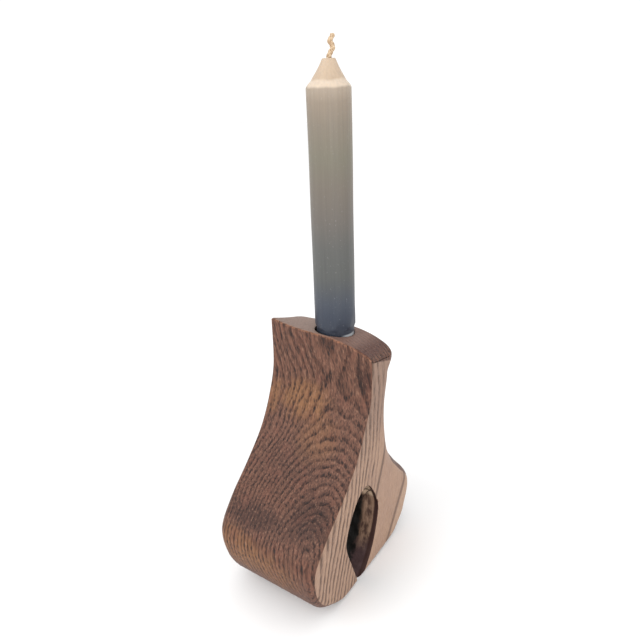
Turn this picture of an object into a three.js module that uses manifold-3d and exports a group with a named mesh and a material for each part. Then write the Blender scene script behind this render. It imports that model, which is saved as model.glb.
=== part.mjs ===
// A candlestick cut from one offcut of open-grained hardwood, with a dipped dinner candle.
//
// Frame: millimetres, +Z up. The origin is on the surface that the block stands on, under the
// middle of the block. +X points out of the sawn side that the natural hollow opens in, and -Y
// points out of the broad sloping front.
import * as THREE from 'three';
import { LoftGeometry } from 'three/addons/geometries/LoftGeometry.js';
import { mergeVertices } from 'three/addons/utils/BufferGeometryUtils.js';
import Module from 'manifold-3d';

// ---------------------------------------------------------------- driving dimensions

// The candle.
const candleDiameter = 22;
const shoulderAboveMouth = 124.4; // the straight side that stands out of the block
const shoulderHeight = 3; // the rounded step where the cone begins
const shoulderInset = 2.4;
const coneHeight = 9.6; // above the shoulder
const coneTopDiameter = 6.6;
const footFlare = 2.5; // length over which the shaved foot grows to the full diameter
const wickDiameter = 2.7;
const wickExposed = 10.2; // above the cone

// The socket, a flat-bottomed bore in the top of the neck.
const socketDiameter = 22;
const socketDepth = 28;
const socketX = 2;
const socketY = 18.5;

// The block.
const blockWidth = 65.6; // along X, between the two sawn sides
const blockDepth = 113; // along Y, across the belly
const blockHeight = 138; // at the socket's axis
const neckFrontWall = 2.8; // wood between the socket and the front, at the mouth
const neckBackWall = 2.2; // wood between the socket and the back, at the mouth
const restingFlat = 42; // depth of the flat that the block stands on
const topEdgeRadius = 1.5;
const endEdgeRadius = 2; // where the top meets the sawn sides
const footEdgeRadius = 2.9;

// The top face falls towards +X and +Y. It is crowned and twisted a little, it rolls up to its
// -X end and down to its +X end, and it drops away to the back at both ends.
const topFallX = 0.055;
const topFallY = 0.092;
const topCrown = 0.0042; // per mm of distance squared
const topTwist = -0.0006;
const topRoll = 0.000115; // per mm of distance cubed
const topDrop = 0.000136;
const topBlend = 43; // height below the top over which the fall fades away
const frontSkew = 0.04; // the front steps back by this share towards -X

// The worn vertical edges, as radii: at the neck and at the foot.
const edges = {
  left: { front: [1, 10], back: [7, 7.5] },
  right: { front: [1.2, 5.5], back: [13.3, 7.5] },
};
const noseRadius = 6.4; // of the right back edge where it meets the top
const noseHeight = 16; // height below the top over which that edge tightens

// The natural hollow in the +X side.
const hollowWidth = 35.4;
const hollowHeight = 57.5;
const hollowDepth = 26;
const hollowY = -6.8; // middle of its mouth
const hollowBottom = 1.6; // its lowest point, close above the floor
const hollowLift = 0.11; // how far it climbs inwards, as a share of its height

// Clearances.
const footClearance = 0.7; // around the candle's shaved foot, on the radius
const seatGap = 0.3; // under the candle
const wickClearance = 0.3; // around the wick, on the radius

// ---------------------------------------------------------------- finishes

const stainedOak = new THREE.MeshStandardMaterial({ color: 0x6b4a3c, roughness: 0.6, metalness: 0 });
const dippedWax = new THREE.MeshStandardMaterial({ color: 0x8f8a80, roughness: 0.45, metalness: 0 });
const waxedCotton = new THREE.MeshStandardMaterial({ color: 0xe6cfa2, roughness: 0.8, metalness: 0 });

// ---------------------------------------------------------------- cutting and joining

const wasm = await Module();
wasm.setup();

// A closed three.js geometry as a solid.
function solidOf(geometry) {
  const bare = new THREE.BufferGeometry();
  bare.setAttribute('position', geometry.attributes.position);
  bare.setIndex(geometry.index);
  const merged = mergeVertices(bare, 1e-4);
  return new wasm.Manifold(new wasm.Mesh({
    numProp: 3,
    vertProperties: merged.attributes.position.array,
    triVerts: new Uint32Array(merged.index.array),
  }));
}

// A solid as a flat-shaded three.js geometry.
function geometryOf(solid) {
  const mesh = solid.getMesh();
  const indexed = new THREE.BufferGeometry();
  indexed.setAttribute('position', new THREE.BufferAttribute(mesh.vertProperties, mesh.numProp));
  indexed.setIndex(new THREE.BufferAttribute(mesh.triVerts, 1));
  const geometry = indexed.toNonIndexed();
  geometry.computeVertexNormals();
  return geometry;
}

const smooth = (x, low, high) => THREE.MathUtils.smoothstep(x, low, high);
const mix = THREE.MathUtils.lerp;

// ---------------------------------------------------------------- the block

const socketRadius = socketDiameter / 2;
const neckFront = socketY - socketRadius - neckFrontWall;
const neckBack = socketY + socketRadius + neckBackWall;
const bellyFront = -blockDepth / 2;
const bellyBack = blockDepth / 2;

// Each side's outline from the foot to the neck, as [swell, rise]: swell is 0 at the neck and
// 1 at the belly, and rise is a share of the block's height.
const frontOutline = [
  [0.54, 0.004], [0.69, 0.033], [0.88, 0.087], [0.985, 0.181], [0.98, 0.29],
  [0.79, 0.384], [0.52, 0.478], [0.29, 0.58], [0.14, 0.688], [0.02, 0.812],
];
const backOutline = [
  [-0.05, 0.004], [0.15, 0.018], [0.64, 0.065], [0.95, 0.152], [0.95, 0.24],
  [0.48, 0.348], [0.04, 0.464], [-0.13, 0.594], [-0.14, 0.725], [0, 0.87],
];
const spanSteps = 4; // points between two neighbours of an outline
const arcSteps = 4;

function sideCurve(outline, neck, belly, restingEdge) {
  const points = outline.map(([swell, rise]) => new THREE.Vector2(
    mix(neck, belly, swell), rise * blockHeight));
  points.unshift(new THREE.Vector2(restingEdge, 0));
  points.push(new THREE.Vector2(neck, blockHeight - topEdgeRadius));
  return new THREE.SplineCurve(points).getPoints(spanSteps * (points.length - 1));
}

// A worn corner of the top, from the upright side round to the top.
function topCorner(neck, inward) {
  return Array.from({ length: arcSteps }, (_, i) => {
    const angle = (i + 1) / arcSteps * Math.PI / 2;
    return new THREE.Vector2(
      neck + inward * topEdgeRadius * (1 - Math.cos(angle)),
      blockHeight - topEdgeRadius * (1 - Math.sin(angle)));
  });
}

// The whole outline in the Y-Z plane: up the front, over the top and down the back. Each
// point knows its side and the direction that points out of the wood there.
function blockOutline() {
  const front = sideCurve(frontOutline, neckFront, bellyFront, -restingFlat / 2);
  const back = sideCurve(backOutline, neckBack, bellyBack, restingFlat / 2);
  const points = [
    ...front, ...topCorner(neckFront, 1),
    ...topCorner(neckBack, -1).reverse(), ...back.reverse(),
  ];
  const frontCount = front.length + arcSteps;
  return points.map((point, i) => {
    const before = points.at(i - 1);
    const after = points[(i + 1) % points.length];
    const out = new THREE.Vector2(before.y - after.y, after.x - before.x).normalize();
    return { point, out, side: i < frontCount ? 'front' : 'back' };
  });
}

// How far the worn edge at a sawn side pulls a point of the outline into the wood. A corner of
// the top is pulled straight along Y, so that the top ends in the same curve as the neck.
function edgePull({ point, out, side }, end) {
  const [neck, foot] = edges[end][side];
  const height = point.y / blockHeight;
  const isNose = end === 'right' && side === 'back';
  const nose = isNose ? smooth(point.y, blockHeight - noseHeight, blockHeight - endEdgeRadius) : 0;
  const upright = mix(foot, mix(neck, noseRadius, nose), smooth(height, 0.1, 0.52));
  const radius = mix(footEdgeRadius, upright, smooth(height, 0.004, 0.1));
  const atTop = smooth(point.y, blockHeight - 6, blockHeight - 2);
  const straight = side === 'front' ? -1 : 1;
  return new THREE.Vector2(
    mix(out.x, straight, atTop) * radius, out.y * mix(radius, endEdgeRadius, atTop));
}

// The fall of the top and the skew of the front, which take hold gradually.
function settle(x, y, z) {
  const dx = x - socketX;
  const dy = y - socketY;
  const fall = topFallX * dx + topCrown * dx * dx + topRoll * dx * dx * dx
    + topFallY * dy + topTwist * dx * dy + topDrop * dx * dx * dy;
  const share = THREE.MathUtils.clamp((z - blockHeight + topBlend) / topBlend, 0, 1);
  const towardsFront = 1 - smooth(y, -6, 28);
  return new THREE.Vector3(x, y + frontSkew * (blockWidth / 2 - x) * towardsFront, z - fall * share);
}

// The sections that the block is lofted through: a quarter round at each sawn side, with
// plain sections between them.
function blockSections() {
  const outline = blockOutline();
  const roundSteps = 4;
  const plainSteps = 6;
  const plain = (across) => outline.map((entry) => settle(
    mix(edgePull(entry, 'left').length() - blockWidth / 2,
      blockWidth / 2 - edgePull(entry, 'right').length(), across),
    entry.point.x, entry.point.y)).reverse();
  const rounded = (end, turn) => outline.map((entry) => {
    const pull = edgePull(entry, end);
    const x = blockWidth / 2 - pull.length() * (1 - Math.cos(turn));
    const { x: y, y: z } = entry.point.clone().addScaledVector(pull, Math.sin(turn) - 1);
    return settle(end === 'left' ? -x : x, y, z);
  }).reverse();
  const turns = Array.from({ length: roundSteps + 1 }, (_, i) => i / roundSteps * Math.PI / 2);
  return [
    ...turns.map((turn) => rounded('left', turn)),
    ...Array.from({ length: plainSteps - 1 }, (_, i) => plain((i + 1) / plainSteps)),
    ...turns.toReversed().map((turn) => rounded('right', turn)),
  ];
}

// The hollow's mouth as [sideways, upward] shares of its half width and of its height, a leaf
// with a blunt top and a lower tip that breaks out of the wood's bottom edge.
const hollowMouth = [
  [-0.3, -0.06], [0.15, 0.03], [0.66, 0.24], [1, 0.56], [0.86, 0.75], [0.48, 0.95],
  [0.2, 1], [-0.2, 0.97], [-0.6, 0.85], [-0.93, 0.68], [-1, 0.53], [-0.75, 0.3], [-0.48, 0.08],
];

// The hollow narrows inwards from its mouth, like the inside of a shell.
function hollowSections() {
  const proud = 1; // starts outside the wood
  const steps = 7;
  const mouth = new THREE.CatmullRomCurve3(hollowMouth.map(([sideways, upward]) =>
    new THREE.Vector3(0, sideways * hollowWidth / 2, (upward - 0.5) * hollowHeight)), true);
  const rim = mouth.getPoints(hollowMouth.length * 3).slice(1).reverse();
  return Array.from({ length: steps + 1 }, (_, i) => {
    const inward = i / steps;
    const size = i === 0 ? 1 : Math.sqrt(1 - (0.94 * inward) ** 2);
    const x = i === 0 ? blockWidth / 2 + proud : blockWidth / 2 - hollowDepth * inward;
    const lift = hollowLift * hollowHeight * Math.sqrt(inward);
    return rim.map((point) => new THREE.Vector3(
      x, hollowY + point.y * size, hollowBottom + hollowHeight / 2 + lift + point.z * size));
  });
}

const capped = { capStart: true, capEnd: true };
const socketFloor = blockHeight - socketDepth;

const socketCut = new THREE.CylinderGeometry(socketRadius, socketRadius, 2 * socketDepth, 64);
socketCut.rotateX(Math.PI / 2);
socketCut.translate(socketX, socketY, socketFloor + socketDepth);

const woodBody = new THREE.Mesh(
  geometryOf(solidOf(new LoftGeometry(blockSections(), capped))
    .subtract(solidOf(new LoftGeometry(hollowSections(), capped)))
    .subtract(solidOf(socketCut))),
  stainedOak);
woodBody.name = 'wood_body';

// ---------------------------------------------------------------- the candle

// The mouth of the socket is slanted, so the shaved foot reaches past its highest point.
const mouthRise = socketRadius * (topFallX + topFallY) + 0.5;
const footLength = socketDepth - seatGap + mouthRise;
const shoulder = socketDepth - seatGap + shoulderAboveMouth;
const footRadius = socketRadius - footClearance;
const candleRadius = candleDiameter / 2;
const wickBore = wickDiameter / 2 + wickClearance;
const coneTop = shoulder + shoulderHeight + coneHeight;

const candleProfile = [
  [wickBore, 0], [footRadius - 0.8, 0], [footRadius, 0.8], [footRadius, footLength],
  [candleRadius, footLength + footFlare], [candleRadius, shoulder],
  [candleRadius - 0.3 * shoulderInset, shoulder + 0.45 * shoulderHeight],
  [candleRadius - shoulderInset, shoulder + shoulderHeight],
  [mix(candleRadius - shoulderInset, coneTopDiameter / 2, 0.45),
    shoulder + shoulderHeight + 0.36 * coneHeight],
  [mix(candleRadius - shoulderInset, coneTopDiameter / 2, 0.85),
    shoulder + shoulderHeight + 0.76 * coneHeight],
  [coneTopDiameter / 2, coneTop], [wickBore, coneTop], [wickBore, 0],
].map(([radius, height]) => new THREE.Vector2(radius, height));

const candle = new THREE.Mesh(new THREE.LatheGeometry(candleProfile, 64), dippedWax);
candle.name = 'candle';
candle.geometry.rotateX(Math.PI / 2);

// ---------------------------------------------------------------- the wick

// Straight up through the wax, then in a loose S above the cone: each bend is a height above
// the cone and how far the wick leans out there, always towards the same side.
const wickLean = new THREE.Vector2(0.83, 0.56);
const wickBends = [
  [-1, 0], [1, 0.25], [2.6, 1], [4.6, 2], [7.4, 0.8], [9.3, 2], [wickExposed, 1.8],
];
const wickStart = seatGap + 1;
const straightSpans = 8;
const wickPath = new THREE.CatmullRomCurve3([
  ...Array.from({ length: straightSpans }, (_, i) =>
    new THREE.Vector3(0, 0, mix(wickStart, coneTop - 1, i / straightSpans))),
  ...wickBends.map(([height, lean]) =>
    new THREE.Vector3(wickLean.x * lean, wickLean.y * lean, coneTop + height)),
], false, 'centripetal');

const wickSection = new THREE.Shape().absarc(0, 0, wickDiameter / 2, 0, 2 * Math.PI);
const wick = new THREE.Mesh(new THREE.ExtrudeGeometry(wickSection, {
  steps: 110, curveSegments: 5, bevelEnabled: false, extrudePath: wickPath,
}), waxedCotton);
wick.name = 'wick';

// ---------------------------------------------------------------- the assembly

const standing = new THREE.Group();
standing.position.set(socketX, socketY, socketFloor + seatGap);
standing.add(candle, wick);

const candlestick = new THREE.Group();
candlestick.add(woodBody, standing);

export default candlestick;
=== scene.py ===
import bpy
import numpy as np
from mathutils import Matrix


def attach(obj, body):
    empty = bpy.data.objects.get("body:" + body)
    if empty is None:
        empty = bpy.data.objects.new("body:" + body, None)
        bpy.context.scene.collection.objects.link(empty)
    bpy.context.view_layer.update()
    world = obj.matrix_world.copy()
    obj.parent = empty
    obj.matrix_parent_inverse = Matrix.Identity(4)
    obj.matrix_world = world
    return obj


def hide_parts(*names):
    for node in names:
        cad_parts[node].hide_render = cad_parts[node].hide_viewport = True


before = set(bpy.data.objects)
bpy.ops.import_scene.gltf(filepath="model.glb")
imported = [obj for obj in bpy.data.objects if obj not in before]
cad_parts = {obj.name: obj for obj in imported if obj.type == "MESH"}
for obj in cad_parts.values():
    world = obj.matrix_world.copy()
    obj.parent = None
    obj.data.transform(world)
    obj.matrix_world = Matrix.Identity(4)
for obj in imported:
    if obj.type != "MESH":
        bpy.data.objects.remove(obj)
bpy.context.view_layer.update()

# ---------------------------------------------------------------- the studio
# A pale table in a soft, bright studio: a big soft light over the left shoulder, a second one
# from the right that lights the sawn side, and a plain white surround that fills the shadows.

MM = 0.001
camera_place = (166.34 * MM, -240.23 * MM, 268.01 * MM)
camera_turn, camera_pitch, camera_roll = np.radians((33.89, 22.04, 2.278))
focal_share = 0.94656  # focal length as a share of the picture's width

scene = bpy.context.scene
scene.view_settings.view_transform = "Standard"

camera = bpy.data.objects.new("camera", bpy.data.cameras.new("camera"))
scene.collection.objects.link(camera)
camera.data.sensor_width = 36
camera.data.lens = 36 * focal_share
camera.data.clip_start = 0.01
ahead = np.array([-np.sin(camera_turn) * np.cos(camera_pitch),
                  np.cos(camera_turn) * np.cos(camera_pitch), -np.sin(camera_pitch)])
level = np.array([np.cos(camera_turn), np.sin(camera_turn), 0])
upright = np.cross(level, ahead)
sideways = level * np.cos(camera_roll) - upright * np.sin(camera_roll)
upward = level * np.sin(camera_roll) + upright * np.cos(camera_roll)
camera.matrix_world = Matrix([
    (*row, place) for row, place in zip(np.column_stack([sideways, upward, -ahead]), camera_place)
] + [(0, 0, 0, 1)])
scene.camera = camera

surround = bpy.data.worlds.new("surround")
surround.use_nodes = True
surround.node_tree.nodes["Background"].inputs["Color"].default_value = (1, 1, 1, 1)
surround.node_tree.nodes["Background"].inputs["Strength"].default_value = 1.08
scene.world = surround


def plain_material(name, colour, roughness):
    """A material with one colour, for the stage only."""
    material = bpy.data.materials.new(name)
    material.use_nodes = True
    shader = material.node_tree.nodes["Principled BSDF"]
    shader.inputs["Base Color"].default_value = (*colour, 1)
    shader.inputs["Roughness"].default_value = roughness
    return material


def new_piece(name, points, faces, smooth=True):
    """An object at the origin whose mesh holds the given points (in metres) and faces."""
    mesh = bpy.data.meshes.new(name)
    mesh.from_pydata(np.asarray(points).tolist(), [], np.asarray(faces).tolist())
    mesh.update()
    if smooth:
        mesh.shade_smooth()
    piece = bpy.data.objects.new(name, mesh)
    scene.collection.objects.link(piece)
    return piece


table_half = 3.0
table = new_piece("table", [(-table_half, -table_half, 0), (table_half, -table_half, 0),
                            (table_half, table_half, 0), (-table_half, table_half, 0)],
                  [(0, 1, 2, 3)], smooth=False)
table.data.materials.append(plain_material("table_white", (0.93, 0.93, 0.93), 0.8))


def softbox(name, place, target, size, power):
    """A square area light at place that faces target."""
    lamp = bpy.data.lights.new(name, "AREA")
    lamp.size = size
    lamp.energy = power
    lit = bpy.data.objects.new(name, lamp)
    back = np.subtract(place, target)
    back = back / np.linalg.norm(back)
    right = np.cross((0, 0, 1), back)
    right = right / np.linalg.norm(right)
    up = np.cross(back, right)
    lit.matrix_world = Matrix([
        (*row, at) for row, at in zip(np.column_stack([right, up, back]), place)
    ] + [(0, 0, 0, 1)])
    scene.collection.objects.link(lit)


middle = (0, 0, 0.1)
softbox("key", (-0.5, -0.9, 0.9), middle, 0.9, 6)
softbox("side", (1.0, -0.75, 0.5), middle, 0.8, 5)

# ---------------------------------------------------------------- the wooden block
# One offcut of open-grained hardwood, sawn on two sides and shaped to a bell outline. Its top
# is slanted and crowned, its upright edges are worn round, it is stained dark and oiled, and the
# stain is sanded back to pale wood on the sawn sides.

block_width = 65.6
block_depth = 113.0
block_height = 138.0
socket_at = np.array([2.0, 18.5])
socket_radius = 11.0
socket_depth = 28.0
neck_front = socket_at[1] - socket_radius - 2.8
neck_back = socket_at[1] + socket_radius + 2.2
resting_flat = 42.0
top_edge_radius, end_edge_radius, foot_edge_radius = 1.5, 2.0, 2.9
top_fall = np.array([0.055, 0.092])
top_crown, top_twist, top_roll, top_drop = 0.0042, -0.0006, 0.000115, 0.000136
top_blend = 43.0
nose_radius, nose_height = 6.4, 16.0
front_skew = 0.04
worn_edges = {("left", "front"): (1, 10), ("left", "back"): (7, 7.5),
              ("right", "front"): (1.2, 5.5), ("right", "back"): (13.3, 7.5)}
front_outline = [
    (0.54, 0.004), (0.69, 0.033), (0.88, 0.087), (0.985, 0.181), (0.98, 0.29),
    (0.79, 0.384), (0.52, 0.478), (0.29, 0.58), (0.14, 0.688), (0.02, 0.812)]
back_outline = [
    (-0.05, 0.004), (0.15, 0.018), (0.64, 0.065), (0.95, 0.152), (0.95, 0.24),
    (0.48, 0.348), (0.04, 0.464), (-0.13, 0.594), (-0.14, 0.725), (0, 0.87)]
rail_points, corner_points, across_points = 216, 8, 54
round_steps, plain_steps = 8, 54


def smoothstep(value, low, high):
    """0 below low, 1 above high and 3t^2 - 2t^3 between them."""
    share = np.clip((value - low) / (high - low), 0, 1)
    return share * share * (3 - 2 * share)


def spline(points, steps):
    """A uniform Catmull-Rom curve through the points, with doubled ends."""
    knots = np.vstack([points[:1], points, points[-1:]])
    span = np.repeat(np.arange(len(points) - 1), steps)
    t = np.tile(np.arange(steps) / steps, len(points) - 1)[:, None]
    a, b, c, d = (knots[span + k] for k in range(4))
    curve = 0.5 * (2 * b + (c - a) * t + (2 * a - 5 * b + 4 * c - d) * t**2
                   + (3 * b - a - 3 * c + d) * t**3)
    return np.vstack([curve, points[-1:]])


def evenly(curve, count):
    """The same open curve as count points at equal distances along it."""
    along = np.concatenate([[0], np.cumsum(np.linalg.norm(np.diff(curve, axis=0), axis=1))])
    wanted = np.linspace(0, along[-1], count)
    return np.column_stack([np.interp(wanted, along, curve[:, k]) for k in range(curve.shape[1])])


def rail(outline, neck, belly, inward):
    """One side of the outline in the Y-Z plane, from the resting flat to the worn top corner."""
    outline = np.array(outline)
    knots = np.vstack([
        [-inward * resting_flat / 2, 0],
        np.column_stack([neck + (belly - neck) * outline[:, 0], outline[:, 1] * block_height]),
        [neck, block_height - top_edge_radius]])
    side = evenly(spline(knots, 24), rail_points)
    turn = np.arange(1, corner_points + 1) / corner_points * np.pi / 2
    corner = np.column_stack([neck + inward * top_edge_radius * (1 - np.cos(turn)),
                              block_height - top_edge_radius * (1 - np.sin(turn))])
    return np.vstack([side, corner])


front_rail = rail(front_outline, neck_front, -block_depth / 2, 1)
back_rail = rail(back_outline, neck_back, block_depth / 2, -1)


def outward(ring):
    """Unit directions out of a closed outline that runs up the front and down the back."""
    ahead_of, behind = np.roll(ring, -1, axis=0), np.roll(ring, 1, axis=0)
    out = np.column_stack([behind[:, 1] - ahead_of[:, 1], ahead_of[:, 0] - behind[:, 0]])
    return out / np.linalg.norm(out, axis=1)[:, None]


rail_count = rail_points + corner_points
ring_out = outward(np.vstack([front_rail, back_rail[::-1]]))
front_out, back_out = ring_out[:rail_count], ring_out[:rail_count - 1:-1]


def edge_pull(points, out, end, side):
    """How far the worn edge at a sawn side pulls each point of a rail into the wood."""
    neck, foot = worn_edges[end, side]
    height = points[:, 1] / block_height
    if (end, side) == ("right", "back"):
        neck = neck + (nose_radius - neck) * smoothstep(
            points[:, 1], block_height - nose_height, block_height - end_edge_radius)
    radius = foot + (neck - foot) * smoothstep(height, 0.1, 0.52)
    radius = foot_edge_radius + (radius - foot_edge_radius) * smoothstep(height, 0.004, 0.1)
    at_top = smoothstep(points[:, 1], block_height - 6, block_height - 2)
    straight = -1 if side == "front" else 1
    return np.column_stack([
        (out[:, 0] + (straight - out[:, 0]) * at_top) * radius,
        out[:, 1] * (radius + (end_edge_radius - radius) * at_top)])


def carried(points, out, side):
    """A rail carried across the block: a quarter round at each sawn side, straight between.
    The result is stations x points x 3, in millimetres, before the top's fall."""
    left, right = edge_pull(points, out, "left", side), edge_pull(points, out, "right", side)
    left_reach, right_reach = np.linalg.norm(left, axis=1), np.linalg.norm(right, axis=1)
    turn = (np.arange(round_steps + 1) / round_steps * np.pi / 2)[:, None]
    half = block_width / 2
    share = (np.arange(1, plain_steps) / plain_steps)[:, None]
    ends = []
    for sign, pull, reach in ((-1, left, left_reach), (1, right, right_reach)):
        x = sign * (half - reach * (1 - np.cos(turn)))
        inset = (np.sin(turn) - 1)[..., None] * pull
        ends.append(np.dstack([x, points + inset]))
    x = (left_reach - half) * (1 - share) + (half - right_reach) * share
    plain = np.dstack([x, np.broadcast_to(points, (*x.shape, 2))])
    return np.concatenate([ends[0], plain, ends[1][::-1]])


def settled(points):
    """The fall, crown and twist of the top and the skew of the front, applied to points."""
    x, y, z = np.moveaxis(points, -1, 0)
    dx, dy = x - socket_at[0], y - socket_at[1]
    fall = (top_fall[0] * dx + top_crown * dx**2 + top_roll * dx**3
            + top_fall[1] * dy + top_twist * dx * dy + top_drop * dx**2 * dy)
    share = np.clip((z - block_height + top_blend) / top_blend, 0, 1)
    skew = front_skew * (block_width / 2 - x) * (1 - smoothstep(y, -6, 28))
    return np.stack([x, y + skew, z - fall * share], axis=-1)


def block_surface():
    """The whole block: rings carried from one sawn side to the other, and a ruled grid between
    the front and the back rail over each sawn side. Points are in millimetres."""
    front, back = carried(front_rail, front_out, "front"), carried(back_rail, back_out, "back")
    across = (np.arange(1, across_points + 1) / (across_points + 1))[:, None, None]
    over = front[None, :, -1] * (1 - across) + back[None, :, -1] * across
    under = front[None, :, 0] * (1 - across) + back[None, :, 0] * across
    rings = np.concatenate([front, over.swapaxes(0, 1), back[:, ::-1],
                            under[::-1].swapaxes(0, 1)], axis=1)
    stations, per_ring = rings.shape[:2]
    number = np.arange(stations * per_ring).reshape(stations, per_ring)
    a, b = number[:-1], number[1:]
    quads = [np.stack([a, b, np.roll(b, -1, 1), np.roll(a, -1, 1)], axis=-1).reshape(-1, 4)]
    points = [rings.reshape(-1, 3)]
    inner_count = (rail_count - 2) * across_points
    for station, first in ((0, stations * per_ring), (-1, stations * per_ring + inner_count)):
        inner = (front[station, 1:-1, None] * (1 - across[:, :, 0].T[..., None])
                 + back[station, 1:-1, None] * across[:, :, 0].T[..., None])
        points.append(inner.reshape(-1, 3))
        grid = np.empty((rail_count, across_points + 2), int)
        ring = number[station]
        grid[:, 0] = ring[:rail_count]
        grid[-1, 1:-1] = ring[rail_count:rail_count + across_points]
        grid[:, -1] = ring[rail_count + across_points:2 * rail_count + across_points][::-1]
        grid[0, 1:-1] = ring[2 * rail_count + across_points:][::-1]
        grid[1:-1, 1:-1] = np.arange(first, first + inner_count).reshape(rail_count - 2, -1)
        face = np.stack([grid[:-1, :-1], grid[:-1, 1:], grid[1:, 1:], grid[1:, :-1]], axis=-1)
        quads.append(face.reshape(-1, 4)[:, ::1 if station else -1])
    return settled(np.concatenate(points)), np.concatenate(quads)


block_points, block_faces = block_surface()
block = new_piece("wooden_block", block_points * MM, block_faces)


# The natural hollow: a leaf-shaped mouth, and walls that close in towards its deep end with
# the ridges that the old knot left.
hollow_width, hollow_height, hollow_depth = 35.4, 57.5, 26.0
hollow_y, hollow_bottom, hollow_lift = -6.8, 1.6, 0.11
hollow_mouth = [
    (-0.3, -0.06), (0.15, 0.03), (0.66, 0.24), (1, 0.56), (0.86, 0.75), (0.48, 0.95),
    (0.2, 1), (-0.2, 0.97), (-0.6, 0.85), (-0.93, 0.68), (-1, 0.53), (-0.75, 0.3), (-0.48, 0.08)]
mouth_steps, depth_steps = 16, 44


def closed_spline(points, steps):
    """A closed Catmull-Rom curve through the points."""
    looped = np.vstack([points, points[:3]])
    return np.roll(spline(looped, steps)[steps:-steps - 1], steps, axis=0)


def hollow_surface():
    """The cutter for the hollow: the mouth's outline shrunk inwards along a superellipse, with
    ridges that run along the grain and a rough floor. It starts a little outside the wood."""
    mouth = np.array(hollow_mouth) * (hollow_width / 2, hollow_height)
    mouth[:, 1] -= hollow_height / 2
    rim = closed_spline(mouth, mouth_steps)
    around = np.arctan2(rim[:, 1] / hollow_height, rim[:, 0] / hollow_width)
    inward = np.linspace(0, 1, depth_steps + 1)[:, None]
    size = (1 - (0.94 * inward) ** 2.4) ** (1 / 2.4)
    knot = 0.10 * np.exp(-((around - 0.1) / 0.35) ** 2) * np.exp(-((inward - 0.42) / 0.22) ** 2)
    ridges = (0.016 * np.sin(13 * around + 2.6 * np.sin(5 * inward) + 0.7)
              + 0.010 * np.sin(29 * around + 9 * inward) + 0.006 * np.sin(61 * around - 17 * inward))
    size = size * (1 - (knot + ridges) * smoothstep(inward, 0.02, 0.25))
    y = hollow_y + rim[:, 0] * size + 3.0 * inward**2
    lift = hollow_lift * hollow_height * np.sqrt(inward)
    z = hollow_bottom + hollow_height / 2 + rim[:, 1] * size + lift
    x = block_width / 2 - hollow_depth * inward * np.ones_like(y)
    walls = np.stack([x, y, z], axis=-1)
    proud = walls[0] + (1.5, 0, 0)
    walls = np.concatenate([proud[None], walls])
    rows, columns = walls.shape[:2]
    number = np.arange(rows * columns).reshape(rows, columns)
    a, b = number[:-1], number[1:]
    quads = np.stack([a, b, np.roll(b, -1, 1), np.roll(a, -1, 1)], axis=-1).reshape(-1, 4)
    middles = np.stack([walls[0].mean(axis=0), walls[-1].mean(axis=0)])
    outer, inner = rows * columns, rows * columns + 1
    fans = [np.column_stack([number[0], np.roll(number[0], -1), np.full(columns, outer)]),
            np.column_stack([np.roll(number[-1], -1), number[-1], np.full(columns, inner)])]
    return np.concatenate([walls.reshape(-1, 3), middles]), [*quads.tolist(), *fans[0].tolist(),
                                                             *fans[1].tolist()]


def bore_surface(radius, low, high, sides=128, rows=24):
    """A closed cylinder upright at the socket's place, in millimetres."""
    turn = np.arange(sides) / sides * 2 * np.pi
    height = np.linspace(low, high, rows)[:, None]
    ring = np.stack([socket_at[0] + radius * np.cos(turn), socket_at[1] + radius * np.sin(turn)])
    walls = np.dstack([*np.broadcast_to(ring[:, None], (2, rows, sides)),
                       np.broadcast_to(height, (rows, sides))])
    number = np.arange(rows * sides).reshape(rows, sides)
    a, b = number[:-1], number[1:]
    quads = np.stack([a, np.roll(a, -1, 1), np.roll(b, -1, 1), b], axis=-1).reshape(-1, 4)
    return walls.reshape(-1, 3), [*quads.tolist(), number[0][::-1].tolist(), number[-1].tolist()]


def cut(piece, name, surface, finish):
    """Cuts a closed surface out of the piece, which keeps the cutter's finish on the new walls."""
    points, faces = surface
    mesh = bpy.data.meshes.new(name)
    mesh.from_pydata((np.asarray(points) * MM).tolist(), [], faces)
    mesh.materials.append(finish)
    mesh.shade_smooth()
    cutter = bpy.data.objects.new(name, mesh)
    scene.collection.objects.link(cutter)
    knife = piece.modifiers.new(name, "BOOLEAN")
    knife.operation = "DIFFERENCE"
    knife.solver = "MANIFOLD"
    knife.object = cutter
    knife.material_mode = "TRANSFER"
    finished = bpy.data.meshes.new_from_object(
        piece.evaluated_get(bpy.context.evaluated_depsgraph_get()))
    piece.modifiers.clear()
    piece.data = finished
    bpy.data.objects.remove(cutter)


# Node building: each call adds one node to a tree and gives back what it puts out.


def add(tree, kind, inputs=(), **settings):
    """A node of the kind, with its settings and its inputs set or linked by name or number."""
    node = tree.nodes.new("ShaderNode" + kind)
    for name, value in settings.items():
        setattr(node, name, value)
    for key, value in dict(inputs).items():
        if isinstance(value, bpy.types.NodeSocket):
            tree.links.new(value, node.inputs[key])
        else:
            node.inputs[key].default_value = value
    return node


def maths(tree, operation, *values):
    """The result of one sum on numbers or sockets."""
    return add(tree, "Math", enumerate(values), operation=operation).outputs[0]


def vector_maths(tree, operation, *values):
    """The result of one sum on vectors or sockets."""
    return add(tree, "VectorMath", enumerate(values), operation=operation).outputs[0]


def between(tree, value, low, high):
    """0 at low, 1 at high and smooth between them; low may be the greater."""
    return add(tree, "MapRange", {"Value": value, "From Min": low, "From Max": high},
               interpolation_type="SMOOTHSTEP").outputs["Result"]


def noise(tree, place, stretch, detail=2.0, roughness=0.5):
    """Noise from 0 to 1 whose cells measure 1/stretch millimetres each way."""
    scaled = vector_maths(tree, "MULTIPLY", place, stretch)
    return add(tree, "TexNoise", {"Vector": scaled, "Scale": 1.0, "Detail": detail,
                                  "Roughness": roughness}).outputs["Fac"]


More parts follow.
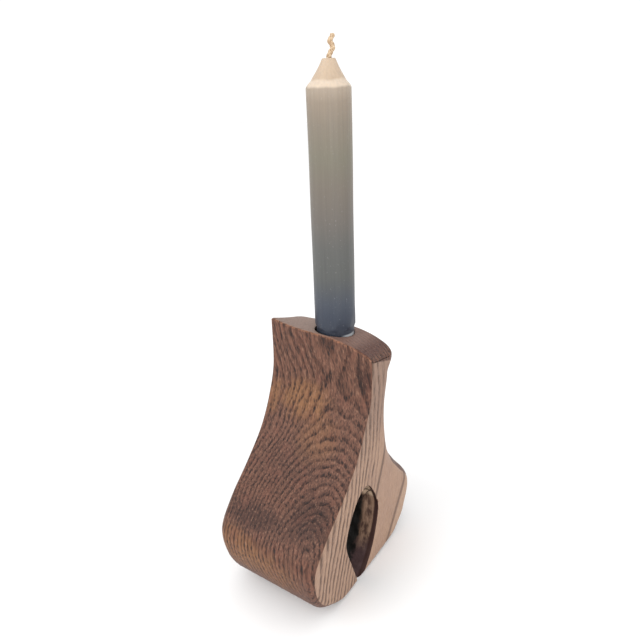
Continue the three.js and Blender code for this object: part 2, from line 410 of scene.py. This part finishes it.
def tint(tree, share, below, above, blend="MIX"):
    """A colour share of the way from one colour to the other."""
    return add(tree, "Mix", {0: share, 6: below, 7: above}, data_type="RGBA",
               blend_type=blend).outputs[2]


def new_group(name, given, result):
    """An empty node group with named inputs and outputs, each with its kind of socket."""
    tree = bpy.data.node_groups.new(name, "ShaderNodeTree")
    for side, sockets in (("INPUT", given), ("OUTPUT", result)):
        for label, kind in sockets.items():
            tree.interface.new_socket(name=label, in_out=side, socket_type="NodeSocket" + kind)
    return tree, tree.nodes.new("NodeGroupInput").outputs, tree.nodes.new("NodeGroupOutput").inputs


def place_group(tree, group, inputs):
    """The group as a node of the tree, with its inputs set or linked."""
    node = tree.nodes.new("ShaderNodeGroup")
    node.node_tree = group
    for key, value in inputs.items():
        if isinstance(value, bpy.types.NodeSocket):
            tree.links.new(value, node.inputs[key])
        else:
            node.inputs[key].default_value = value
    return node.outputs


def new_finish(name, roughness, specular=0.5):
    """An empty material with its shader, and the place on the piece in millimetres."""
    material = bpy.data.materials.new(name)
    material.use_nodes = True
    tree = material.node_tree
    shader = tree.nodes["Principled BSDF"]
    shader.inputs["Roughness"].default_value = roughness
    shader.inputs["Specular IOR Level"].default_value = specular
    at = add(tree, "TexCoord").outputs["Object"]
    place = add(tree, "Mapping", {"Vector": at, "Scale": (1 / MM, 1 / MM, 1 / MM)}).outputs[0]
    return material, tree, shader, place


# The growth rings stand round a pith that leans to the left as it climbs and comes out of the
# belly of the front, low down on the right.
pith_x, pith_z, pith_lean = 27.5, 32.0, -0.19
pith_reach, pith_tilt = 69.0, -0.38
bend_from, bend = 30.0, 0.0014
ring_pitch, sawn_pitch = 2.5, 3.9


def build_grain():
    """Ring radius = distance from the leaning pith; a ring is dark in its early wood and fades
    through the year, in broken runs. Pores are the middles of long cells along the grain, most in
    the early wood; fibres are stretched noise, and flecks are its lightest spots."""
    tree, given, result = new_group(
        "wood_grain", {"Place": "Vector", "Pitch": "Float"},
        {"Rings": "Float", "Pores": "Float", "Fibres": "Float", "Flecks": "Float",
         "Radius": "Float"})
    place = given["Place"]
    x, y, z = add(tree, "SeparateXYZ", {0: place}).outputs
    above = maths(tree, "MAXIMUM", maths(tree, "SUBTRACT", z, bend_from), 0.0)
    curve = maths(tree, "MULTIPLY", maths(tree, "MULTIPLY", above, above), bend)
    leant = maths(tree, "ADD", maths(tree, "MULTIPLY_ADD", z, pith_tilt, y), curve)
    across = maths(tree, "SUBTRACT", x, maths(tree, "MULTIPLY_ADD", z, pith_lean,
                                              pith_x - pith_lean * pith_z))
    ahead = maths(tree, "ADD", leant, pith_reach)
    wander = maths(tree, "MULTIPLY_ADD", noise(tree, place, (0.035, 0.035, 0.02), 1), 9.0, -4.5)
    ripple = maths(tree, "MULTIPLY_ADD", noise(tree, place, (0.22, 0.22, 0.06), 2), 1.6, -0.8)
    radius = maths(tree, "SQRT", maths(tree, "ADD", maths(tree, "MULTIPLY", across, across),
                                       maths(tree, "MULTIPLY", ahead, ahead)))
    radius = maths(tree, "ADD", radius, maths(tree, "ADD", wander, ripple))
    year = maths(tree, "FRACT", maths(tree, "DIVIDE", radius, given["Pitch"]))
    rings = maths(tree, "MULTIPLY", between(tree, year, 0.0, 0.15), between(tree, year, 0.75, 0.2))
    grained = add(tree, "CombineXYZ", {0: across, 1: ahead, 2: z}).outputs[0]
    broken = between(tree, noise(tree, grained, (0.5, 0.5, 0.14), 2), 0.36, 0.6)
    rings = maths(tree, "MULTIPLY", rings, maths(tree, "MULTIPLY_ADD", broken, 0.65, 0.35))
    cells = add(tree, "TexVoronoi", {
        "Vector": vector_maths(tree, "MULTIPLY", grained, (1.0, 1.0, 0.3)),
        "Scale": 1.0, "Randomness": 1.0}).outputs["Distance"]
    rough_cells = noise(tree, grained, (0.7, 0.7, 0.2), 2)
    pores = maths(tree, "MULTIPLY", between(tree, cells, 0.6, 0.28),
                  between(tree, rough_cells, 0.33, 0.5))
    pores = maths(tree, "MULTIPLY", pores, maths(tree, "MULTIPLY_ADD", rings, 0.7, 0.4))
    flecks = between(tree, noise(tree, grained, (1.2, 1.2, 0.3), 2, 0.6), 0.54, 0.7)
    tree.links.new(rings, result["Rings"])
    tree.links.new(pores, result["Pores"])
    tree.links.new(noise(tree, grained, (1.6, 1.6, 0.09), 3, 0.6), result["Fibres"])
    tree.links.new(flecks, result["Flecks"])
    tree.links.new(radius, result["Radius"])
    return tree


def build_patch():
    """1 in the middle of an ellipsoid and 0 past its skin, which a little noise makes ragged."""
    tree, given, result = new_group(
        "stain_patch", {"Place": "Vector", "Centre": "Vector", "Reach": "Vector"}, {"Patch": "Float"})
    off = vector_maths(tree, "DIVIDE", vector_maths(tree, "SUBTRACT", given["Place"],
                                                    given["Centre"]), given["Reach"])
    far = add(tree, "VectorMath", {0: off}, operation="LENGTH").outputs["Value"]
    ragged = maths(tree, "MULTIPLY_ADD", noise(tree, given["Place"], (0.25, 0.25, 0.1), 3), 0.9, -0.45)
    tree.links.new(between(tree, maths(tree, "ADD", far, ragged), 1.15, 0.35), result["Patch"])
    return tree


grain_group, patch_group = build_grain(), build_patch()

umber, deep_umber = (0.165, 0.073, 0.046, 1), (0.072, 0.030, 0.019, 1)
golden, reddish, soot = (0.215, 0.098, 0.042, 1), (0.16, 0.059, 0.037, 1), (0.048, 0.018, 0.012, 1)
pore_brown, fleck_tan, ring_shade = (0.012, 0.005, 0.004, 1), (0.34, 0.185, 0.12, 1), (0.38, 0.31, 0.28, 1)
# Painted light on the upward top: a grey-pink sky reflection on the left, less of it to the right, and
# painted shade at the nose.
top_sheen_left, top_fading_sheen_right = (0.26, 0.175, 0.14, 1), (0.20, 0.115, 0.09, 1)
top_nose_shade = (0.085, 0.033, 0.024, 1)
# The edge orange is partly worn stain and partly a painted highlight, and the grey is a painted sheen.
worn_and_highlight_orange, sheen_grey = (0.25, 0.105, 0.055, 1), (0.42, 0.37, 0.34, 1)
# Patches in the stain: centre and reach in millimetres, and strength.
gold_patches = [((-8, 1, 100), (20, 12, 14), 0.95), ((-29, -1, 97), (6, 12, 12), 0.7),
                ((6, -9, 84), (16, 12, 20), 0.45), ((-22, -52, 32), (30, 16, 14), 0.85),
                ((6, -55, 28), (20, 16, 13), 0.6)]
dark_patches = [((-12, -45, 50), (26, 12, 8), 0.75), ((20, -38, 56), (17, 16, 17), 0.8),
                ((28, 4.5, 120), (5.5, 8, 10), 0.9), ((-4, -20, 70), (26, 18, 14), 0.3)]
reddish_share, fleck_share = 0.4, 0.4
top_from, top_full = 112.0, 124.0


def stained_colour(tree, place, normal, grain):
    """Dark stain: fibres, golden and sooty patches, the top painted greyer with a sky reflection and
    darker with shade towards its nose, the worn top edge partly painted as a highlight, a painted sheen
    patch, rings, pores and flecks.
    """
    x, _, z = add(tree, "SeparateXYZ", {0: place}).outputs
    _, ny, nz = add(tree, "SeparateXYZ", {0: normal}).outputs
    stain = tint(tree, between(tree, grain["Fibres"], 0.32, 0.62), deep_umber, umber)
    for patches, colour in ((gold_patches, golden), (dark_patches, soot)):
        for centre, reach, strength in patches:
            patch = place_group(tree, patch_group, {"Place": place, "Centre": centre,
                                                    "Reach": reach})["Patch"]
            stain = tint(tree, maths(tree, "MULTIPLY", patch, strength), stain, colour)
    blush = between(tree, noise(tree, place, (0.14, 0.14, 0.05), 2), 0.5, 0.7)
    stain = tint(tree, maths(tree, "MULTIPLY", blush, reddish_share), stain, reddish)
    high = between(tree, z, top_from, top_full)
    # Where the top faces up, the stain gives way to painted light: a grey-pink sky reflection on the left
    # that turns darker, as painted shade, towards the right and the nose.
    top = maths(tree, "MULTIPLY", between(tree, nz, 0.7, 0.9), high)
    top_sheen_and_shade = tint(tree, between(tree, x, -8.0, 14.0), top_sheen_left, top_fading_sheen_right)
    top_sheen_and_shade = tint(tree, between(tree, x, 16.0, 27.0), top_sheen_and_shade, top_nose_shade)
    stain = tint(tree, top, stain, top_sheen_and_shade)
    # The rounded top front edge is painted orange where it faces up and forward: partly wear of the stain,
    # partly a painted highlight.
    rim = maths(tree, "MULTIPLY", between(tree, nz, 0.12, 0.5), between(tree, ny, -0.2, -0.55))
    worn = maths(tree, "MULTIPLY", rim, between(tree, grain["Fibres"], 0.35, 0.6))
    stain = tint(tree, maths(tree, "MULTIPLY", worn, high), stain, worn_and_highlight_orange)
    # A painted sheen: the back shoulder of the foot is painted pale grey where it would reflect the white
    # surround.
    painted_sheen_patch = place_group(tree, patch_group, {"Place": place, "Centre": (27, 46, 57),
                                                "Reach": (11, 12, 12)})["Patch"]
    stain = tint(tree, maths(tree, "MULTIPLY", painted_sheen_patch, 0.75), stain, sheen_grey)
    flecked = tint(tree, maths(tree, "MULTIPLY", grain["Flecks"], fleck_share), stain, fleck_tan)
    calm = maths(tree, "MULTIPLY_ADD", top, -0.7, 0.95)
    ringed = tint(tree, maths(tree, "MULTIPLY", grain["Rings"], calm), flecked, ring_shade,
                  "MULTIPLY")
    return tint(tree, maths(tree, "MULTIPLY", grain["Pores"], calm), ringed, pore_brown)


pale_wood, pale_warm, pale_neck = (0.34, 0.212, 0.150, 1), (0.37, 0.232, 0.158, 1), (0.25, 0.155, 0.112, 1)
pale_line, pale_strip = (0.105, 0.058, 0.038, 1), (0.43, 0.285, 0.20, 1)
strip_slope = 0.76
# Lone dark lines y = slope z + place on the right side: slope, place, half width and strength.
lone_lines = [(strip_slope, 20.5, 4.0, 0.75), (0.433, -11.0, 2.6, 0.85)]
left_lines, thread_share = 0.4, 0.35


def sanded_colour(tree, place, grain):
    """Pale wood: dark year lines towards the front, two lone ones behind them, a light strip."""
    x, y, z = add(tree, "SeparateXYZ", {0: place}).outputs
    clouds = noise(tree, place, (0.06, 0.06, 0.03), 2)
    pale = tint(tree, between(tree, clouds, 0.35, 0.65), pale_wood, pale_warm)
    pale = tint(tree, maths(tree, "MULTIPLY", between(tree, z, 70.0, 105.0), 0.8), pale, pale_neck)
    wander = maths(tree, "MULTIPLY_ADD", noise(tree, place, (0.05, 0.05, 0.05), 1), 5.0, -2.5)
    bow = maths(tree, "ADD", maths(tree, "MULTIPLY_ADD", z, -strip_slope, y), wander)
    pale = tint(tree, maths(tree, "MULTIPLY", between(tree, bow, 21.5, 24.0), 0.7), pale, pale_strip)
    for slope, line_at, reach, strength in lone_lines:
        run = maths(tree, "ADD", maths(tree, "MULTIPLY_ADD", z, -slope, y),
                    maths(tree, "MULTIPLY", wander, 0.3))
        off = maths(tree, "ABSOLUTE", maths(tree, "SUBTRACT", run, line_at))
        line = maths(tree, "MULTIPLY", between(tree, off, reach, 0.3), strength)
        line = maths(tree, "MULTIPLY", line, between(tree, x, -1.0, 1.0))
        pale = tint(tree, line, pale, pale_line)
    faded = maths(tree, "MAXIMUM", between(tree, grain["Radius"], 62.0, 50.0), maths(
        tree, "MULTIPLY", between(tree, x, 1.0, -1.0), left_lines))
    lines = maths(tree, "MULTIPLY", grain["Rings"], maths(tree, "MULTIPLY_ADD", faded, 1.1, 0.06))
    pale = tint(tree, maths(tree, "MINIMUM", lines, 0.95), pale, pale_line)
    threads = maths(tree, "MULTIPLY", between(tree, grain["Fibres"], 0.42, 0.75), thread_share)
    return tint(tree, threads, pale, pale_line)


nose_fall, nose_from = -0.33, 132.0


def sawn_share(tree, place, normal):
    """1 on the two sawn sides, up to their worn edges and the dark nose of the top."""
    x, y, z = add(tree, "SeparateXYZ", {0: place}).outputs
    nx = add(tree, "SeparateXYZ", {0: normal}).outputs["X"]
    neck_back = maths(tree, "MULTIPLY", between(tree, z, 54.0, 66.0), between(tree, y, 2.0, 14.0))
    limit = maths(tree, "MULTIPLY_ADD", neck_back, -0.32, 0.84)
    sawn = between(tree, maths(tree, "SUBTRACT", maths(tree, "ABSOLUTE", nx), limit), -0.02, 0.03)
    nose = maths(tree, "MULTIPLY_ADD", y, nose_fall, nose_from)
    right = between(tree, maths(tree, "SUBTRACT", z, nose), 0.5, -0.3)
    left = between(tree, x, 0.0, -1.0)
    return maths(tree, "MULTIPLY", sawn, maths(tree, "MAXIMUM", right, left))


def oiled_wood():
    """Dark stain on every face but the sawn sides, where the wood is sanded back pale."""
    finish, tree, shader, place = new_finish("oiled_wood", 0.55, 0.3)
    normal = add(tree, "TexCoord").outputs["Normal"]
    grain = place_group(tree, grain_group, {"Place": place, "Pitch": ring_pitch})
    sawn_grain = place_group(tree, grain_group, {"Place": place, "Pitch": sawn_pitch})
    sawn = sawn_share(tree, place, normal)
    tree.links.new(tint(tree, sawn, stained_colour(tree, place, normal, grain),
                        sanded_colour(tree, place, sawn_grain)), shader.inputs["Base Color"])
    gloss = maths(tree, "MULTIPLY_ADD", grain["Fibres"], 0.25, 0.42)
    tree.links.new(gloss, shader.inputs["Roughness"])
    relief = maths(tree, "MULTIPLY_ADD", grain["Pores"], -1.0, maths(
        tree, "MULTIPLY_ADD", grain["Fibres"], 0.4, maths(tree, "MULTIPLY", grain["Rings"], -0.3)))
    bump = add(tree, "Bump", {"Height": relief, "Strength": 0.6, "Distance": 0.3 * MM})
    tree.links.new(bump.outputs[0], shader.inputs["Normal"])
    return finish


# The ridges' tan and brown are partly the wood's streaks and partly painted light on the ridges and
# painted shade in the grooves; the black is painted shadow in the depth.
groove_brown_and_shade, ridge_tan_and_light, lip_tan = (0.07, 0.036, 0.025, 1), (0.27, 0.165, 0.11, 1), (0.56, 0.40, 0.28, 1)
foot_plum, rim_red = (0.060, 0.032, 0.032, 1), (0.035, 0.013, 0.010, 1)
depth_shadow_black, crack_brown = (0.004, 0.003, 0.002, 1), (0.03, 0.015, 0.012, 1)
hollow_cracks = [(0.25, 50.5), (1.5, 55.5)]  # rise towards the depth, and height at the mouth


def hollow_bark():
    """Tan by the mouth, painted black for the shadow in the depth, ridges along the grain painted lighter
    on top and darker in the grooves, and two arc cracks.
    """
    finish, tree, shader, place = new_finish("hollow_wood", 0.7, 0.25)
    x, _, z = add(tree, "SeparateXYZ", {0: place}).outputs
    depth = maths(tree, "SUBTRACT", block_width / 2, x)
    ridges = noise(tree, place, (0.35, 0.35, 0.06), 3, 0.6)
    ragged = maths(tree, "MULTIPLY_ADD", ridges, 7.0, maths(tree, "SUBTRACT", depth, 3.5))
    # The colour follows the ridges' height: paler on the ridges, darker in the grooves, partly the wood's
    # streaks, partly painted light and shade.
    colour = tint(tree, between(tree, ridges, 0.4, 0.6), groove_brown_and_shade, ridge_tan_and_light)
    lip = between(tree, maths(tree, "MULTIPLY_ADD", ridges, 8.0, z), 46.0, 50.0)
    colour = tint(tree, lip, colour, lip_tan)
    colour = tint(tree, between(tree, z, 19.0, 9.0), colour, foot_plum)
    # Painted shadow: the wall turns black further into the hollow.
    reach = maths(tree, "MULTIPLY_ADD", between(tree, z, 40.0, 54.0), 3.0, 9.0)
    dark = between(tree, maths(tree, "SUBTRACT", ragged, reach), -1.0, 1.5)
    colour = tint(tree, dark, colour, depth_shadow_black)
    for slope, crack_at in hollow_cracks:
        arc = maths(tree, "MULTIPLY_ADD", depth, slope, maths(tree, "MULTIPLY_ADD", ridges, 3.0, z))
        off = maths(tree, "ABSOLUTE", maths(tree, "SUBTRACT", arc, crack_at))
        crack = maths(tree, "MULTIPLY", between(tree, off, 0.8, 0.2), 0.85)
        colour = tint(tree, crack, colour, crack_brown)
    colour = tint(tree, between(tree, depth, 3.0, 2.0), colour, rim_red)
    tree.links.new(colour, shader.inputs["Base Color"])
    bump = add(tree, "Bump", {"Height": ridges, "Strength": 0.7, "Distance": 0.8 * MM})
    tree.links.new(bump.outputs[0], shader.inputs["Normal"])
    return finish


# Painted shade: the socket's walls are painted dark brown.
bore_shade_dark, bore_shade_brown = (0.02, 0.011, 0.008, 1), (0.07, 0.036, 0.026, 1)


def socket_wood():
    """Bored wood, painted dark for the shade down in the socket, with the drill's fine rings."""
    finish, tree, shader, place = new_finish("bored_wood", 0.8, 0.2)
    speckle = noise(tree, place, (0.8, 0.8, 0.3), 3)
    tree.links.new(tint(tree, speckle, bore_shade_dark, bore_shade_brown), shader.inputs["Base Color"])
    turns = noise(tree, place, (0.1, 0.1, 1.6), 1)
    bump = add(tree, "Bump", {"Height": turns, "Strength": 0.5, "Distance": 0.3 * MM})
    tree.links.new(bump.outputs[0], shader.inputs["Normal"])
    return finish


block.data.materials.append(oiled_wood())
cut(block, "hollow_cutter", hollow_surface(), hollow_bark())
cut(block, "socket_cutter", bore_surface(socket_radius, block_height - socket_depth,
                                         block_height + 20), socket_wood())
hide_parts("wood_body")
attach(block, "holder")

# ---------------------------------------------------------------- the candle
# A dinner candle of dipped wax, cream at the tip and slate blue at the foot. Its foot is shaved
# with a knife so that it goes into the socket, and it lifts straight out.

seat_gap, wax_foot_radius, candle_radius = 0.3, 10.3, 11.0
foot_length, foot_flare = 29.82, 2.5
shoulder, shoulder_height, shoulder_inset = 152.1, 3.0, 2.4
cone_height, cone_top_radius, cone_sag, wick_bore = 9.6, 3.3, 1.35, 1.65
candle_base = block_height - socket_depth + seat_gap
cone_top = shoulder + shoulder_height + cone_height


def turned(profile, sides):
    """A profile of radius and height carried round the candle's axis, closed on itself. The
    result is profile x sides x 3 in millimetres, and the angle of each side."""
    turn = np.arange(sides) / sides * 2 * np.pi
    radius, height = profile[:, :1], profile[:, 1:]
    return np.dstack([radius * np.cos(turn), radius * np.sin(turn),
                      np.broadcast_to(height, (len(profile), sides))]), turn


def wax_profile():
    """Up the bore, round under the foot, up the side, over the shoulder and up the cone."""
    soft = [(wick_bore, 1), (wick_bore, 0.15), (wick_bore + 0.3, 0), (wax_foot_radius - 0.8, 0),
            (wax_foot_radius, 0.8), (wax_foot_radius, foot_length)]
    climb = np.linspace(0, 1, 9)[1:, None]
    flare = np.hstack([wax_foot_radius + (candle_radius - wax_foot_radius)
                       * smoothstep(climb, 0, 1), foot_length + foot_flare * climb])
    side = np.column_stack([np.full(60, candle_radius), np.linspace(foot_length + foot_flare + 0.6,
                                                                    shoulder - 1.2, 60)])
    top = np.array([
        (candle_radius, shoulder - 0.5), (candle_radius - 0.12, shoulder + 0.1),
        (candle_radius - 0.45, shoulder + 0.75), (candle_radius - 1.1, shoulder + 1.55),
        (candle_radius - 1.75, shoulder + 2.2), (candle_radius - shoulder_inset, shoulder + 2.95)])
    rise = np.linspace(0, 1, 14)[1:, None]
    sag = cone_sag * rise * (1 - rise)
    cone = np.hstack([candle_radius - shoulder_inset
                      + (cone_top_radius - candle_radius + shoulder_inset) * rise - sag,
                      shoulder + shoulder_height + (cone_height - 0.4) * rise])
    lip = np.array([(cone_top_radius - 0.15, cone_top - 0.1), (cone_top_radius - 0.6, cone_top),
                    (wick_bore + 0.2, cone_top - 0.05), (wick_bore, cone_top - 0.4)])
    bore = np.column_stack([np.full(40, wick_bore), np.linspace(cone_top - 4, 4, 40)])
    return np.vstack([soft, flare, side, top, cone, lip, bore])


lean_way = np.array([0.83, 0.56])
stand_off, cone_askew = 0.5, 0.5


def leaning(height):
    """The candle stands against the right back of its socket, and its cone is a little askew."""
    return lean_way * (stand_off + cone_askew * smoothstep(height, shoulder, cone_top))


candle_sides = 144
facet_reach, facet_slope = 8, 0.11
candle_rings, candle_turn = turned(wax_profile(), candle_sides)
# The knife's facets at the foot, and the slow waves that dipping leaves in the side.
height = candle_rings[..., 2]
radius = np.hypot(candle_rings[..., 0], candle_rings[..., 1])
outer = radius > wick_bore + 3.5
facet_turn = np.array([0.1, 1.0, 2.1, 3.1, 4.0, 4.85, 5.6])
facet_lift = np.array([1.5, 2.4, -1.2, 1.0, -0.6, 0.8, 2.6])
facing = np.cos(candle_turn[None, :, None] - facet_turn)
flat = (wax_foot_radius - 0.05 + np.clip(height[..., None] - foot_length + 1 - facet_lift, 0, 40)
        * facet_slope) / np.clip(facing, 0.3, 1)
shaved = np.where((height > foot_length - facet_reach) & outer,
                  np.minimum(radius, flat.min(axis=2)), radius)
dip = (0.07 * np.sin(3 * candle_turn + 0.045 * height) + 0.05 * np.sin(0.11 * height + candle_turn)
       + 0.04 * np.sin(7 * candle_turn - 0.02 * height))
on_side = smoothstep(height, foot_length + 6, foot_length + 14) * (radius > candle_radius - 3)
scale_out = (shaved + np.minimum(dip, 0.1) * on_side - 0.1 * on_side) / radius
candle_rings[..., :2] *= scale_out[..., None]
candle_rings[..., :2] += leaning(height[..., None])
candle_rings += (*socket_at, candle_base)
rows = len(candle_rings)
number = np.arange(rows * candle_sides).reshape(rows, candle_sides)
a, b = number, np.roll(number, -1, axis=0)
candle_faces = np.stack([a, np.roll(a, -1, 1), np.roll(b, -1, 1), b], axis=-1).reshape(-1, 4)
candle = new_piece("dipped_candle", candle_rings.reshape(-1, 3) * MM, candle_faces)

# How the wax's colour climbs the candle: height above the floor in millimetres, and colour. The bright
# entries from 262.2 to 266.4 mm are a painted highlight on the shoulder's ledge.
wax_and_ledge_highlight_colours = [
    (138, (0.026, 0.032, 0.047)), (150, (0.037, 0.045, 0.065)), (157, (0.053, 0.061, 0.078)),
    (171, (0.086, 0.089, 0.085)), (186, (0.100, 0.100, 0.094)), (201, (0.134, 0.119, 0.104)),
    (216, (0.160, 0.138, 0.113)), (231, (0.176, 0.160, 0.122)), (246, (0.215, 0.182, 0.142)),
    (256, (0.265, 0.215, 0.165)), (262.2, (0.35, 0.285, 0.22)), (263.2, (0.60, 0.49, 0.38)),
    (265.2, (0.62, 0.51, 0.40)), (266.4, (0.49, 0.375, 0.27)), (275, (0.52, 0.40, 0.29))]
# The shaved white is partly shaved wax and partly a painted highlight.
shaved_wax_and_highlight_white, speck_white, streak_shade = (0.55, 0.58, 0.60, 1), (0.7, 0.7, 0.7, 1), (0.92, 0.92, 0.93, 1)


def dipped_wax():
    """Satin wax in a dip-dyed gradient with a painted highlight at the shoulder's ledge, faint streaks
    down the side, and a pale crescent at the mouth that is partly shaved wax and partly a painted
    highlight.
    """
    finish, tree, shader, place = new_finish("dip_dyed_wax", 0.42, 0.32)
    x, y, z = add(tree, "SeparateXYZ", {0: place}).outputs
    shader.inputs["Subsurface Weight"].default_value = 0.12
    shader.inputs["Subsurface Radius"].default_value = (1.0, 0.75, 0.55)
    shader.inputs["Subsurface Scale"].default_value = 2.5 * MM
    low, high = wax_and_ledge_highlight_colours[0][0], wax_and_ledge_highlight_colours[-1][0]
    wobble = maths(tree, "MULTIPLY_ADD", noise(tree, place, (0.12, 0.12, 0.03), 2), 2.4, -1.2)
    share = add(tree, "MapRange", {"Value": maths(tree, "ADD", z, wobble), "From Min": low,
                                   "From Max": high}).outputs["Result"]
    ramp = add(tree, "ValToRGB", {"Fac": share})
    elements = ramp.color_ramp.elements
    while len(elements) < len(wax_and_ledge_highlight_colours):
        elements.new(0.5)
    for element, (at, colour) in zip(elements, wax_and_ledge_highlight_colours):
        element.position = (at - low) / (high - low)
    for element, (at, colour) in zip(elements, wax_and_ledge_highlight_colours):
        element.color = (*colour, 1)
    streaks = noise(tree, place, (0.9, 0.9, 0.02), 3)
    colour = tint(tree, between(tree, streaks, 0.35, 0.7), ramp.outputs["Color"], streak_shade,
                  "MULTIPLY")
    specks = noise(tree, place, (1.4, 1.4, 0.9), 2)
    colour = tint(tree, maths(tree, "MULTIPLY", between(tree, specks, 0.64, 0.8), 0.12), colour,
                  speck_white)
    aside = maths(tree, "ADD", maths(tree, "MULTIPLY", x, 0.98), maths(tree, "MULTIPLY", y, -0.19))
    # A pale crescent on the right of the foot at the mouth: partly shaved wax, partly a painted highlight.
    shaving_and_highlight = maths(tree, "MULTIPLY", between(tree, z, 138.6, 137.8), between(tree, aside, 7.4, 9.0))
    colour = tint(tree, maths(tree, "MULTIPLY", shaving_and_highlight, 0.6), colour, shaved_wax_and_highlight_white)
    tree.links.new(colour, shader.inputs["Base Color"])
    tree.links.new(maths(tree, "MULTIPLY_ADD", streaks, 0.2, 0.34), shader.inputs["Roughness"])
    lumps = noise(tree, place, (0.25, 0.25, 0.12), 2)
    bump = add(tree, "Bump", {"Height": lumps, "Strength": 0.12, "Distance": 0.3 * MM})
    tree.links.new(bump.outputs[0], shader.inputs["Normal"])
    return finish


candle.data.materials.append(dipped_wax())
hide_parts("candle")
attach(candle, "taper")

# ---------------------------------------------------------------- the wick
# Three plies of cotton braided together, soaked in wax. It runs down the middle of the candle
# and stands out of the cone in a loose S.

wick_exposed, wick_start = 10.2, 1.3
wick_bends = [(-1, 0), (1, 0.25), (2.6, 1), (4.6, 2), (7.4, 0.8), (9.3, 2), (wick_exposed, 1.8)]
ply_radius, braid_width, braid_depth, braid_turn = 0.68, 0.66, 0.34, 6.4


def tube(line, radii, sides):
    """A round section carried along a line with a pole at each end: points and faces. Each
    ring stands square to the line, and its frame turns with the line as little as it can."""
    ahead = np.gradient(line, axis=0)
    ahead = ahead / np.linalg.norm(ahead, axis=1)[:, None]
    first = np.cross(ahead, (0.3, -0.9, 0.1))
    first = first / np.linalg.norm(first, axis=1)[:, None]
    second = np.cross(ahead, first)
    turn = np.arange(sides) / sides * 2 * np.pi
    rings = (line[:, None] + radii[:, None, None]
             * (first[:, None] * np.cos(turn)[:, None] + second[:, None] * np.sin(turn)[:, None]))
    rows = len(line)
    number = np.arange(rows * sides).reshape(rows, sides)
    a, b = number[:-1], number[1:]
    quads = np.stack([a, np.roll(a, -1, 1), np.roll(b, -1, 1), b], axis=-1).reshape(-1, 4)
    poles = np.stack([line[0] - ahead[0] * radii[0] * 0.5, line[-1] + ahead[-1] * radii[-1] * 0.5])
    start, end = rows * sides, rows * sides + 1
    fans = [np.column_stack([np.roll(number[0], -1), number[0], np.full(sides, start)]),
            np.column_stack([number[-1], np.roll(number[-1], -1), np.full(sides, end)])]
    return np.concatenate([rings.reshape(-1, 3), poles]), [*quads.tolist(), *fans[0].tolist(),
                                                           *fans[1].tolist()]


def wick_line():
    """The middle of the wick: straight up through the wax, then through the bends."""
    straight = np.column_stack([np.zeros((9, 2)), np.linspace(wick_start - seat_gap,
                                                               cone_top - 6, 9)])
    bends = np.array([(*(lean_way * lean), cone_top + climb) for climb, lean in wick_bends])
    line = evenly(spline(np.vstack([straight, bends]), 24), 700)
    line[:, :2] += leaning(line[:, 2:])
    return line + (*socket_at, candle_base)


def braid():
    """Three plies, each swinging across the wick once a turn and from front to back twice."""
    line = wick_line()
    along = np.linspace(0, 1, len(line)) * np.linalg.norm(np.diff(line, axis=0), axis=1).sum()
    across = np.array([*lean_way, 0])
    depth = np.array([*lean_way[::-1] * (-1, 1), 0])
    points, faces, used = [], [], 0
    for ply in range(3):
        swing = 2 * np.pi * (along / braid_turn + ply / 3)
        fray = 0.12 * (along / along[-1]) ** 40 * (ply - 1)
        path = (line + across * (braid_width * np.sin(swing) + fray)[:, None]
                + depth * (braid_depth * np.sin(2 * swing))[:, None])
        thin = ply_radius * (1 - 0.35 * smoothstep(along, along[-1] - 1.5, along[-1]))
        ply_points, ply_faces = tube(path, thin, 10)
        points.append(ply_points)
        faces += [[corner + used for corner in face] for face in ply_faces]
        used += len(ply_points)
    return np.concatenate(points), faces


wick_points, wick_faces = braid()
wick = bpy.data.objects.new("braided_wick", bpy.data.meshes.new("braided_wick"))
wick.data.from_pydata((wick_points * MM).tolist(), [], wick_faces)
wick.data.shade_smooth()
scene.collection.objects.link(wick)


# The brown is painted shade for the gaps between the plies.
ply_gap_shade_brown, cotton_cream = (0.30, 0.17, 0.085, 1), (0.62, 0.47, 0.31, 1)


def waxed_cotton():
    """Cream cotton under a thin skin of wax, with brown from noise as painted shade between the plies."""
    finish, tree, shader, place = new_finish("waxed_cotton_ply", 0.5, 0.4)
    threads = noise(tree, place, (2.2, 2.2, 1.1), 3)
    colour = tint(tree, between(tree, threads, 0.3, 0.62), ply_gap_shade_brown, cotton_cream)
    tree.links.new(colour, shader.inputs["Base Color"])
    bump = add(tree, "Bump", {"Height": threads, "Strength": 0.6, "Distance": 0.25 * MM})
    tree.links.new(bump.outputs[0], shader.inputs["Normal"])
    return finish


wick.data.materials.append(waxed_cotton())
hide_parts("wick")
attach(wick, "taper")
